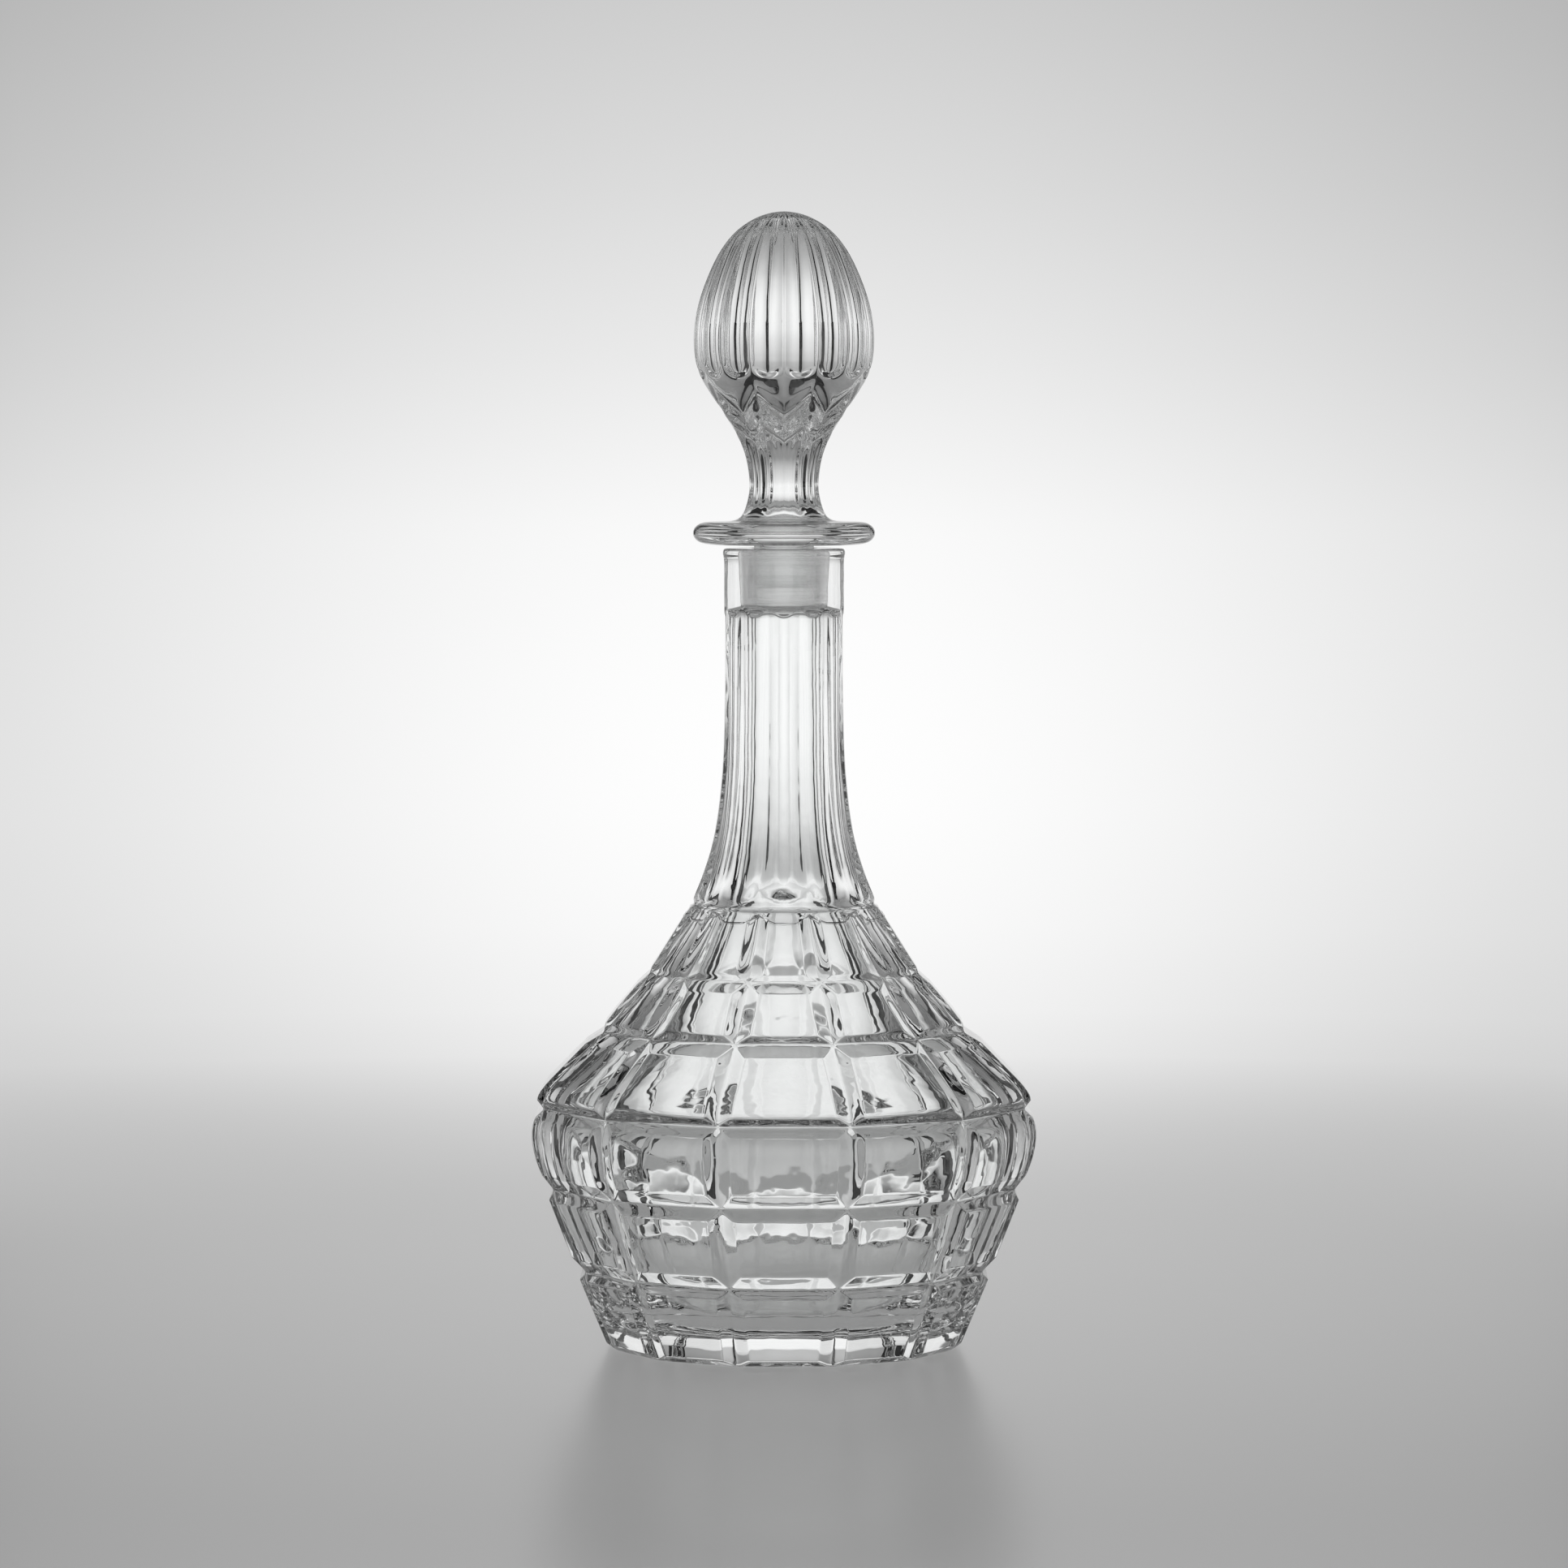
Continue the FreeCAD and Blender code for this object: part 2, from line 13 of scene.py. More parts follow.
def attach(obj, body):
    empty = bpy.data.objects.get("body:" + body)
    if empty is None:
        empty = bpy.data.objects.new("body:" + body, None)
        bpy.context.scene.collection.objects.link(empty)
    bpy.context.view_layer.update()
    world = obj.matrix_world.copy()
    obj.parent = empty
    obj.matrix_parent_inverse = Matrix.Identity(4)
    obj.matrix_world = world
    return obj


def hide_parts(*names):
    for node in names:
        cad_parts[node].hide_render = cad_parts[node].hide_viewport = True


bl_info = {
    "name": "Stoppered Wine Decanter",
    "version": (1, 0, 0),
    "blender": (4, 5, 0),
    "location": "View3D > Sidebar > Decanter",
    "description": "Models a pressed-glass decanter with its ground stopper in a pale studio tent",
    "category": "Object",
}

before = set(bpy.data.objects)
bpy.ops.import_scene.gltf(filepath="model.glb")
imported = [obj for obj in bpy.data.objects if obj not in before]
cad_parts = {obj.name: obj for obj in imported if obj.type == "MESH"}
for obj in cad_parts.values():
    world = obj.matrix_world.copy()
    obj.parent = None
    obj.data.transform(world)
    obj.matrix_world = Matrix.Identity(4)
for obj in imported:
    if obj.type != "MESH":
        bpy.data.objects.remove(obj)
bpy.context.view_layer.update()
MM = 0.001
COLUMNS = 12
HALF_PITCH = math.radians(15.0)
# two heights or turns closer than this are the same
SAME = 1e-6
SAME_TURN = 1e-4


# ------------------------------------------------------------------ settings
def length(name, default, description):
    """A size in millimetres, kept by Blender in metres."""
    return bpy.props.FloatProperty(name=name, default=default * MM, min=0.0, precision=5,
                                   subtype="DISTANCE", unit="LENGTH", description=description)


class DecanterBottleSizes(bpy.types.PropertyGroup):
    """Sizes of the bottle that a user would change."""
    groove_depth: length("Groove depth", 2.1, "Depth of the upright grooves below the block faces")
    bevel_side: length("Block bevel", 3.5, "Width of the sloped sides of a block")
    bevel_narrow: length("Top block bevel", 2.7, "The same at the narrow top of the highest row")
    inner_wave: length("Inner wave", 0.28, "Unevenness of the blown inside wall")
    edge_melt: length("Melted edge", 0.5, "Rounding of the pressed edges by fire polishing")
    wedge_length: length("Wedge length", 10.5, "Run of the upright grooves into the foot of the neck")
    wedge_depth: length("Wedge depth", 1.0, "Depth of those grooves at the highest row of blocks")
    collar_radius: length("Collar radius", 16.9, "Plain round collar below the mouth")
    mouth_height: length("Mouth height", 225.5, "Foot to mouth")


class DecanterStopperSizes(bpy.types.PropertyGroup):
    """Sizes of the stopper that a user would change."""
    disc_radius: length("Disc radius", 25.7, "Round disc over the mouth")
    peg_radius: length("Plug radius", 8.4, "Ground plug at the disc")
    peg_length: length("Plug length", 11.9, "Ground plug below the disc")
    flute_depth: length("Flute depth", 1.5, "Hollow of the knob's sixteen flutes")


class DecanterLook(bpy.types.PropertyGroup):
    """Colours and finishes that a user would change."""
    glass: bpy.props.FloatVectorProperty(name="Glass", subtype="COLOR", size=3, min=0, max=1,
                                         default=(0.985, 0.992, 0.990), description="Tint of the clear glass")
    index: bpy.props.FloatProperty(name="Refractive index", default=1.52, min=1.0, max=2.0,
                                   description="Soda-lime glass is about 1.52")
    ripple: bpy.props.FloatProperty(name="Ripple", default=0.22, min=0.0, max=1.0, subtype="FACTOR",
                                    description="Faint waviness of the pressed surface")
    ground: bpy.props.FloatVectorProperty(name="Ground skin", subtype="COLOR", size=3, min=0, max=1,
                                          default=(0.94, 0.95, 0.95),
                                          description="Whitish colour of ground glass")
    # tone of the painted shade on the glass's outlines: 1 leaves them clear, 0 paints them black
    painted_outline_tone: bpy.props.FloatProperty(name="Edge tone", default=0.28, min=0.0, max=1.0, subtype="FACTOR",
                                       description="How light the glass stays where it is seen edge on")
    skin: bpy.props.FloatProperty(name="Skin", default=0.08, min=0.0, max=1.0, subtype="FACTOR",
                                  description="Share of light that the ground skin scatters")
    satin: bpy.props.FloatProperty(name="Ground roughness", default=0.27, min=0.0, max=1.0, subtype="FACTOR",
                                   description="Roughness of the ground plug and seat")
    floor: bpy.props.FloatVectorProperty(name="Floor", subtype="COLOR", size=3, min=0, max=1,
                                         default=(0.62, 0.62, 0.62), description="Pale satin floor")


# ------------------------------------------------------------- shader helpers
class Value:
    """A number socket that can be used in sums."""

    def __init__(self, nodes, socket):
        self.nodes, self.socket = nodes, socket

    def _math(self, operation, a, b=None):
        sockets = {0: a} if b is None else {0: a, 1: b}
        node = self.nodes.add("ShaderNodeMath", {"operation": operation}, sockets)
        return Value(self.nodes, node.outputs[0])

    def __add__(self, other):
        return self._math("ADD", self, other)

    def __mul__(self, other):
        return self._math("MULTIPLY", self, other)

    def __sub__(self, other):
        return self._math("SUBTRACT", self, other)

    def __rsub__(self, other):
        return self._math("SUBTRACT", other, self)

    def __truediv__(self, other):
        return self._math("DIVIDE", self, other)

    def __pow__(self, other):
        return self._math("POWER", self, other)

    __radd__ = __add__
    __rmul__ = __mul__


class Nodes:
    """Makes nodes in one tree and joins them up."""

    def __init__(self, owner):
        owner.use_nodes = True
        self.tree = owner.node_tree
        self.tree.nodes.clear()

    def add(self, kind, settings=None, sockets=None):
        node = self.tree.nodes.new(kind)
        for key, setting in (settings or {}).items():
            if key == "stops":
                ramp = node.color_ramp
                while len(ramp.elements) < len(setting):
                    ramp.elements.new(0.5)
                for element, (place, shade) in zip(ramp.elements, setting):
                    element.position = place
                    element.color = (shade, shade, shade, 1)
            else:
                setattr(node, key, setting)
        for key, value in (sockets or {}).items():
            socket = node.inputs[key]
            if isinstance(value, Value):
                self.tree.links.new(value.socket, socket)
            elif isinstance(value, bpy.types.NodeSocket):
                self.tree.links.new(value, socket)
            else:
                socket.default_value = value
        return node

    def value(self, kind, settings=None, sockets=None, output=0):
        return Value(self, self.add(kind, settings, sockets).outputs[output])

    def fade(self, value, middle, before, after, half=0.0004):
        """A step from one number to another, eased over a short stretch."""
        return self.value("ShaderNodeMapRange", {"clamp": True},
                          {0: value, 1: middle - half, 2: middle + half, 3: before, 4: after})

    def place(self):
        """Object coordinates, and the same split into x, y and z values."""
        spot = self.add("ShaderNodeTexCoord").outputs["Object"]
        split = self.add("ShaderNodeSeparateXYZ", None, {0: spot})
        return spot, [Value(self, out) for out in split.outputs]


# --------------------------------------------------------------- mesh helpers
def outline(bm, points, turn=0.0):
    """A chain of edges through (distance from the axis, height) points."""
    verts = [bm.verts.new((r * math.cos(turn), r * math.sin(turn), z)) for r, z in points]
    edges = [bm.edges.new(pair) for pair in zip(verts, verts[1:])]
    return verts + edges


def spin(bm, chain, steps):
    """Turn a chain once round Z, closed."""
    made = bmesh.ops.spin(bm, geom=chain, cent=(0, 0, 0), axis=(0, 0, 1), dvec=(0, 0, 0),
                          angle=math.tau, space=Matrix.Identity(4), steps=steps,
                          use_merge=True, use_normal_flip=False, use_duplicate=False)
    return made["geom_last"]


def settle(bm, distance=0.00001):
    """Merge doubles and point every face outwards."""
    bmesh.ops.remove_doubles(bm, verts=bm.verts, dist=distance)
    bmesh.ops.recalc_face_normals(bm, faces=bm.faces)


def smooth(bm):
    """Shade every face smooth."""
    for face in bm.faces:
        face.smooth = True


def to_object(bm, name, material):
    """Put a bmesh with one material into the scene as an object."""
    mesh = bpy.data.meshes.new(name)
    bm.to_mesh(mesh)
    bm.free()
    piece = bpy.data.objects.new(name, mesh)
    bpy.context.scene.collection.objects.link(piece)
    mesh.materials.append(material)
    return piece


def finish(bm, name, body, node, material):
    """Turn a bmesh into a finished piece that rides on its body."""
    smooth(bm)
    piece = to_object(bm, name, material)
    rounding = piece.modifiers.new("rounding", "SUBSURF")
    rounding.levels = rounding.render_levels = 1
    piece.visible_shadow = False
    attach(piece, body)
    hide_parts(node)
    return piece


def move_to(vert, radius):
    """Move a vertex to a distance from the axis, at its own turn and height."""
    factor = radius / vert.co.to_2d().length
    vert.co.x *= factor
    vert.co.y *= factor


def share_of(value, start, run):
    """How far a value has come along a run, from 0 to 1."""
    return min(max((value - start) / run, 0.0), 1.0)


# -------------------------------------------------------------------- glass
# how closely grinding marks follow each other along the height, and their height in the bump
GRAIN_SCALE = 2600.0
GRAIN_HEIGHT = 0.06
# slant at which the painted dark outline starts, and where it is full
OUTLINE_SHADE_SLANT = (0.62, 0.90)


def clear_glass(name, look, satin_zone, ripple=0.8, ripple_size=0.014):
    """Clear pressed glass, ground to satin in one zone round the axis.

    satin_zone is (low, high, radius) in metres; ripple_size is the length of the surface's waves.
    """
    material = bpy.data.materials.new(name)
    nodes = Nodes(material)
    spot, (x, y, z) = nodes.place()
    radius = (x * x + y * y) ** 0.5
    low, high, reach = satin_zone
    satin = nodes.fade(z, low, 0.0, 1.0) * nodes.fade(z, high, 1.0, 0.0) * nodes.fade(radius, reach, 1.0, 0.0)
    # long grinding marks that run round the plug and seat
    grain = nodes.value("ShaderNodeTexNoise", {"noise_dimensions": "1D"},
                        {"W": z * GRAIN_SCALE, "Detail": 3.0, "Roughness": 0.7})
    waves = nodes.value("ShaderNodeTexNoise", None,
                        {"Vector": spot, "Scale": 1.0 / ripple_size, "Detail": 2.0, "Roughness": 0.55})
    height = waves * (look.ripple * ripple) + satin * grain * GRAIN_HEIGHT
    bump = nodes.add("ShaderNodeBump", None, {"Strength": 1.0, "Distance": 0.001, "Height": height})
    # painted shade: the glass's colour is darkened where its surface is seen edge on, which draws dark
    # outlines
    slant = nodes.value("ShaderNodeLayerWeight", None, {"Blend": 0.5, "Normal": bump.outputs[0]}, output=1)
    painted_outline_mask = nodes.value("ShaderNodeMapRange", {"clamp": True, "interpolation_type": "SMOOTHSTEP"},
                      {0: slant, 1: OUTLINE_SHADE_SLANT[0], 2: OUTLINE_SHADE_SLANT[1], 3: 0.0, 4: 1.0})
    # colour of the painted dark outline
    edge = tuple(look.painted_outline_tone * part for part in look.glass)
    tint_and_painted_outline = nodes.add("ShaderNodeMix", {"data_type": "RGBA"},
                     {0: painted_outline_mask, 6: tuple(look.glass) + (1,), 7: edge + (1,)})
    glass = nodes.add("ShaderNodeBsdfPrincipled", None, {
        "Base Color": tint_and_painted_outline.outputs[2], "Roughness": satin * look.satin,
        "IOR": look.index, "Transmission Weight": 1.0, "Normal": bump.outputs[0]})
    # grinding leaves a whitish skin that scatters part of the light
    skin = nodes.add("ShaderNodeBsdfPrincipled", None, {
        "Base Color": tuple(look.ground) + (1,), "Roughness": 0.75, "Normal": bump.outputs[0]})
    both = nodes.add("ShaderNodeMixShader", None,
                     {0: satin * look.skin, 1: glass.outputs[0], 2: skin.outputs[0]})
    nodes.add("ShaderNodeOutputMaterial", None, {"Surface": both.outputs[0]})
    return material


# ------------------------------------------------------------------- bottle
# every row of blocks: groove under it (height, axis to groove), points of its
# upright groove, points of its faces; millimetres
BLOCK_ROWS = (
    ((0.0, 46.9), ((2.2, 48.2), (19.6, 55.3)),
     ((1.7, 50.0), (4.6, 51.2), (17.2, 56.4), (20.1, 57.6))),
    ((22.6, 55.6), ((26.0, 57.4), (43.0, 64.0)),
     ((26.3, 59.7), (29.3, 60.9), (39.8, 64.9), (42.8, 66.1))),
    ((46.0, 64.6), ((49.4, 65.8), (53.8, 67.6), (61.5, 69.0), (66.3, 67.8)),
     ((49.6, 67.9), (52.3, 69.1), (56.0, 70.3), (60.5, 71.0), (64.0, 70.7), (66.1, 69.9))),
    ((68.8, 67.3), ((70.6, 67.3), (73.6, 66.1), (78.4, 61.9), (86.9, 53.4)),
     ((70.9, 69.4), (72.4, 69.1), (75.2, 67.2), (78.8, 63.6), (83.8, 58.6), (86.7, 55.7))),
    ((89.9, 50.6), ((92.1, 48.2), (96.4, 44.9), (103.3, 39.1)),
     ((92.2, 50.3), (93.9, 48.9), (96.4, 47.0), (100.6, 43.4), (103.1, 41.3))),
    ((106.1, 37.9), ((107.8, 35.3), (123.0, 25.4)),
     ((107.7, 37.3), (110.3, 35.6), (120.8, 29.0), (123.3, 27.4))),
)
NECK = ((124.6, 26.5), (126.5, 25.8), (130.6, 24.0), (134.7, 22.5), (138.8, 21.1), (142.9, 19.95),
        (149.2, 18.7), (158.0, 17.7), (166.0, 17.1), (174.0, 16.8), (190.0, 16.5), (206.3, 16.5))
UNDERSIDE = ((0.0, 0.9), (16.0, 0.9), (30.0, 0.9), (38.0, 0.75), (42.0, 0.3), (43.6, 0.02), (45.0, 0.0))
# rise of the scallops between the neck's flats, and how it grows towards their corners
SCALLOP_RISE = 3.1
SCALLOP_CURVE = 2.2
# heights on the collar, in metres: its foot, and two above it
COLLAR_FOOT = 0.2118
COLLAR_HEIGHTS = (COLLAR_FOOT, 0.2150, 0.2200)
# lip of the collar: out from the collar, down from the mouth; millimetres
LIP = ((0.0, 2.9), (0.30, 1.9), (0.35, 1.0), (0.10, 0.3), (-0.6, 0.0), (-3.0, 0.0))
# ground seat and the step under it: distance from the axis, down from the mouth; millimetres
SEAT_DEPTH = 0.0160
SEAT = ((11.2, 0.0), (9.3, 0.0), (8.68, 0.3), (8.46, 1.0), (8.40, 3.0), (8.08, 15.0), (8.05, 16.0),
        (8.6, 16.25), (10.2, 17.0), (10.9, 17.5), (11.2, 18.5), (11.2, 26.0))
# how firmly edges keep their line when the mesh is rounded
NECK_CREASE = 0.85
SCALLOP_CREASE = 0.6
SEAT_CREASE = 0.7
# the inside, from the neck's bore down to the floor: distance from the axis, height
CAVITY = ((11.2, 190.0), (11.3, 170.0), (11.5, 158.0), (11.9, 149.2), (12.4, 142.9), (13.6, 134.7),
          (14.8, 129.0), (16.2, 124.6), (21.2, 115.35), (27.0, 106.1), (33.1, 98.0), (40.4, 89.9),
          (47.7, 83.8), (54.1, 78.4), (59.5, 73.9), (62.3, 71.3), (64.0, 68.8), (64.7, 66.0),
          (64.8, 62.0), (64.2, 57.4), (62.9, 51.7), (60.9, 46.0), (58.4, 40.0), (56.0, 34.3),
          (53.4, 28.4), (50.6, 22.6), (47.6, 18.0), (44.0, 14.2), (39.0, 11.3), (33.0, 10.1),
          (22.0, 10.0), (0.0, 10.0))
# heights that hold the cavity's wall
CAVITY_SPAN = (9.0, 204.0)
# lengthwise stretch and fineness of the inside wall's waves
WAVE_SQUEEZE = 1.8
WAVES_PER_METRE = 80.0


def column_of(vert):
    """Turn of the block column a vertex belongs to."""
    return round(math.atan2(vert.co.y, vert.co.x) / (2 * HALF_PITCH)) * 2 * HALF_PITCH


def on_column_line(vert):
    """Whether a vertex lies on the line between two columns."""
    return abs(abs(math.atan2(vert.co.y, vert.co.x) - column_of(vert)) - HALF_PITCH) < SAME_TURN


def faces_of_block(bm, low, high, ahead, across):
    """The untouched four-sided faces of one column between two levels."""
    found = []
    for face in bm.faces:
        middle = face.calc_center_median()
        if face.tag or len(face.verts) != 4 or middle.to_2d().length <= 0.02:
            continue
        heights = [v.co.z for v in face.verts]
        in_column = abs(middle.dot(across)) < 0.1 * middle.dot(ahead)
        if in_column and min(heights) > low - SAME and max(heights) < high + SAME:
            found.append(face)
    return found


def raise_blocks(bm, sizes):
    """Inset every column of every row and press its face to its place."""
    rims, hips = [], []
    levels = [row[0][0] * MM for row in BLOCK_ROWS] + [NECK[0][0] * MM]
    for index, (ring, groove, face_points) in enumerate(BLOCK_ROWS):
        low, high = levels[index], levels[index + 1]
        for column in range(COLUMNS):
            turn = column * 2 * HALF_PITCH
            ahead = Vector((math.cos(turn), math.sin(turn), 0))
            across = Vector((-math.sin(turn), math.cos(turn), 0))
            region = faces_of_block(bm, low, high, ahead, across)
            if index == 0:
                region = [f for f in region if max(v.co.z for v in f.verts) > 0.001]
            inset = bmesh.ops.inset_region(bm, faces=region, thickness=sizes.bevel_side * 0.5,
                                           depth=sizes.groove_depth, use_boundary=True, use_even_offset=True)
            for face in inset["faces"] + region:
                face.tag = True
            verts = sorted({v for face in region for v in face.verts}, key=lambda v: v.co.z)
            pairs = [verts[i:i + 2] for i in range(0, len(verts), 2)]
            for pair, (height, reach) in zip(pairs, face_points):
                share = (height - ring[0]) / (high / MM - ring[0])
                bevel = sizes.bevel_side
                if index == len(BLOCK_ROWS) - 1:
                    bevel += (sizes.bevel_narrow - sizes.bevel_side) * share
                half = (reach * MM - sizes.groove_depth) * math.tan(HALF_PITCH) - bevel
                for vert in pair:
                    side = 1 if vert.co.dot(across) > 0 else -1
                    vert.co = ahead * (reach * MM) + across * (side * half) + Vector((0, 0, height * MM))
            inner = set(region)
            for face in region:
                rims += [e for e in face.edges if sum(f in inner for f in e.link_faces) == 1]
            corners = {v for pair in (pairs[0], pairs[-1]) for v in pair}
            for vert in corners:
                hips += [e for e in vert.link_edges if e.other_vert(vert) not in verts]
    return rims, hips


def inside_point(spot):
    """Whether a point lies on the wine cavity's wall."""
    height, radius = spot.z / MM, spot.to_2d().length / MM
    if not CAVITY_SPAN[0] < height < CAVITY_SPAN[1]:
        return False
    for (low_r, low), (high_r, high) in zip(CAVITY[::-1], CAVITY[-2::-1]):
        if low - 1e-4 <= height <= high + 1e-4:
            share = (height - low) / max(high - low, SAME)
            return radius < low_r + (high_r - low_r) * share + 1.0
    return False


def scallop(bm, ring, sizes):
    """Shape the top ring of the neck into scallops that stay inside the collar."""
    for vert in ring:
        turn = column_of(vert)
        angle = math.atan2(vert.co.y, vert.co.x) - turn
        share = min(abs(math.sin(angle)) / math.sin(HALF_PITCH), 1.0)
        vert.co.z = (NECK[-1][0] + SCALLOP_RISE * share ** SCALLOP_CURVE) * MM
        limit = sizes.collar_radius - 0.0001
        if vert.co.to_2d().length > limit:
            move_to(vert, limit)


def melt_edges(bm, rims, hips, sizes):
    """Round the pressed edges: block rims and corners, grooves and the foot."""
    start = NECK[0][0] * MM
    foot_radius = BLOCK_ROWS[0][0][1] * MM / math.cos(HALF_PITCH)
    levels = {round(row[0][0], 2) for row in BLOCK_ROWS[1:]} | {round(NECK[0][0], 2)}
    grooves = []
    for edge in bm.edges:
        a, b = edge.verts
        if not (on_column_line(a) and on_column_line(b)) or a.co.to_2d().length < 0.01:
            continue
        flat = abs(a.co.z - b.co.z) < SAME
        if flat and round(a.co.z / MM, 2) in levels:
            grooves.append(edge)
        elif not flat and min(a.co.z, b.co.z) > -SAME and max(a.co.z, b.co.z) < start + SAME:
            grooves.append(edge)
    foot = [e for e in bm.edges if all(abs(v.co.z) < SAME for v in e.verts)
            and all(abs(v.co.to_2d().length - foot_radius) < 1e-5 for v in e.verts)]
    sharp = list({e for e in rims + hips + grooves + foot if e.is_valid})
    bmesh.ops.bevel(bm, geom=sharp, offset=sizes.edge_melt, offset_type="OFFSET", segments=2,
                    profile=0.5, affect="EDGES", clamp_overlap=True, material=-1)


def shape_neck(bm, sizes):
    """Give the neck's flats their corners, wedges and scallops; returns the edges of its top."""
    start, top = NECK[0][0] * MM, NECK[-1][0] * MM
    level_edges = [e for e in bm.edges if min(v.co.z for v in e.verts) > start + 0.001
                   and abs(e.verts[0].co.z - e.verts[1].co.z) < SAME]
    bmesh.ops.subdivide_edges(bm, edges=level_edges, cuts=7, use_grid_fill=True)
    crease = bm.edges.layers.float.new("crease_edge")
    ring = {v for v in bm.verts if v.co.z > top - SAME}
    for edge in bm.edges:
        a, b = edge.verts
        upright = min(a.co.z, b.co.z) > start + 0.0012 and abs(a.co.z - b.co.z) > SAME
        if upright and on_column_line(a) and on_column_line(b):
            edge[crease] = NECK_CREASE
    for vert in bm.verts:
        rise = (vert.co.z - start) / sizes.wedge_length
        radius = vert.co.to_2d().length
        if -0.001 < rise < 1.0 and radius > 0.02 and on_column_line(vert):
            move_to(vert, radius - sizes.wedge_depth * (1 - rise))
    scallop(bm, ring, sizes)
    rim_edges = [e for e in bm.edges if e.verts[0] in ring and e.verts[1] in ring]
    for edge in rim_edges:
        edge[crease] = SCALLOP_CREASE
    return rim_edges


def step_out(bm, rim_edges, sizes):
    """Step from the scallops out to the round collar, then up to its foot."""
    made = bmesh.ops.extrude_edge_only(bm, edges=rim_edges)["geom"]
    step = {g for g in made if isinstance(g, bmesh.types.BMVert)}
    for vert in step:
        move_to(vert, sizes.collar_radius - 0.00005)
        vert.co.z += 0.0007
    edges = [g for g in made if isinstance(g, bmesh.types.BMEdge) and all(v in step for v in g.verts)]
    made = bmesh.ops.extrude_edge_only(bm, edges=edges)["geom"]
    for vert in [g for g in made if isinstance(g, bmesh.types.BMVert)]:
        move_to(vert, sizes.collar_radius)
        vert.co.z = COLLAR_FOOT


def wave_inside(bm, sizes):
    """Give the cavity's wall its own material slot and its blown unevenness."""
    for face in bm.faces:
        if all(inside_point(v.co) for v in face.verts):
            face.material_index = 1
    for vert in bm.verts:
        if inside_point(vert.co) and vert.co.to_2d().length > 0.012:
            spot = Vector((vert.co.x, vert.co.y, vert.co.z * WAVE_SQUEEZE)) * WAVES_PER_METRE
            away = Vector((vert.co.x, vert.co.y, 0.0)).normalized()
            vert.co += away * (noise.noise(spot) * sizes.inner_wave)


def build_bottle(sizes, look):
    """The bottle: blocks, panelled neck, round collar, ground seat and wine cavity."""
    bm = bmesh.new()
    secant = 1 / math.cos(HALF_PITCH)
    chain = [(r * MM * secant, z * MM) for r, z in UNDERSIDE]
    for ring, groove, faces in BLOCK_ROWS:
        chain.append((ring[1] * MM * secant, ring[0] * MM))
        chain += [(a * MM * secant, z * MM) for z, a in groove]
    chain += [(a * MM * secant, z * MM) for z, a in NECK]
    spin(bm, outline(bm, chain, HALF_PITCH), COLUMNS)
    settle(bm)
    for face in bm.faces:
        face.tag = False
    rims, hips = raise_blocks(bm, sizes)
    melt_edges(bm, rims, hips, sizes)
    step_out(bm, shape_neck(bm, sizes), sizes)

    mouth = sizes.mouth_height
    collar = sizes.collar_radius
    round_part = [(collar, height) for height in COLLAR_HEIGHTS]
    round_part += [(collar + out * MM, mouth - down * MM) for out, down in LIP]
    round_part += [(r * MM, mouth - down * MM) for r, down in SEAT]
    round_part += [(r * MM, z * MM) for r, z in CAVITY]
    spin(bm, outline(bm, round_part, HALF_PITCH), 8 * COLUMNS)
    settle(bm, 0.00004)
    wave_inside(bm, sizes)
    crease = bm.edges.layers.float["crease_edge"]
    seat = mouth - SEAT_DEPTH
    for edge in bm.edges:
        if all(abs(v.co.z - seat) < 0.0009 and v.co.to_2d().length < 0.0085 for v in edge.verts):
            edge[crease] = SEAT_CREASE
    ground = (seat, mouth - 0.0006, 0.0089)
    glass = clear_glass("pressed_glass", look, ground)
    piece = finish(bm, "decanter_bottle", "bottle", "bottle", glass)
    piece.data.materials.append(clear_glass("blown_inside", look, ground, ripple=0.6, ripple_size=0.010))
    even = piece.modifiers.new("flat_faces", "WEIGHTED_NORMAL")
    even.weight = 60
    return piece


# ------------------------------------------------------------------ stopper
# height above the disc's underside, distance from the axis; millimetres
KNOB = ((6.55, 14.6), (7.1, 13.0), (7.9, 12.0), (8.9, 11.45), (9.8, 11.0), (11.2, 10.45), (12.6, 10.05),
        (14.5, 9.75), (16.5, 9.6), (18.5, 9.65), (20.5, 9.85), (22.2, 10.1), (24.3, 10.5), (26.6, 11.2),
        (29.0, 12.2), (31.6, 13.6), (34.5, 15.4), (37.2, 17.1), (40.0, 19.1), (42.8, 21.0), (45.4, 22.6),
        (47.3, 23.5), (49.2, 24.2), (51.4, 24.85), (54.0, 25.25), (57.7, 25.45), (62.0, 25.2),
        (67.4, 24.15), (72.5, 22.5), (77.4, 20.5), (81.2, 18.6), (84.2, 16.7), (86.8, 14.6), (88.9, 12.3),
        (90.6, 9.9), (91.9, 7.4), (92.8, 4.9), (93.3, 2.4), (93.45, 0.0))
# ground plug: distance from the axis, height above its tip; millimetres
PLUG = ((0.0, 0.0), (4.0, 0.0), (7.65, 0.0), (7.90, 0.12), (8.08, 0.5), (8.12, 1.6), (8.20, 4.0), (8.30, 8.0))
# round edge of the disc: in from its radius, height above its underside; millimetres
DISC_EDGE = ((4.2, 0.0), (2.6, 0.22), (1.1, 1.0), (0.22, 2.1), (0.0, 3.2), (0.22, 4.3), (1.1, 5.4),
             (2.6, 6.18), (4.2, 6.4))
# height where each pressing sets in, and its run: flats, round bulb, streaked waist; millimetres
FLATS = (7.0, 2.5)
BULB = (36.5, 8.0)
WAIST_LOW = (9.0, 3.0)
WAIST_TOP, WAIST_RUN = 34.0, 6.0
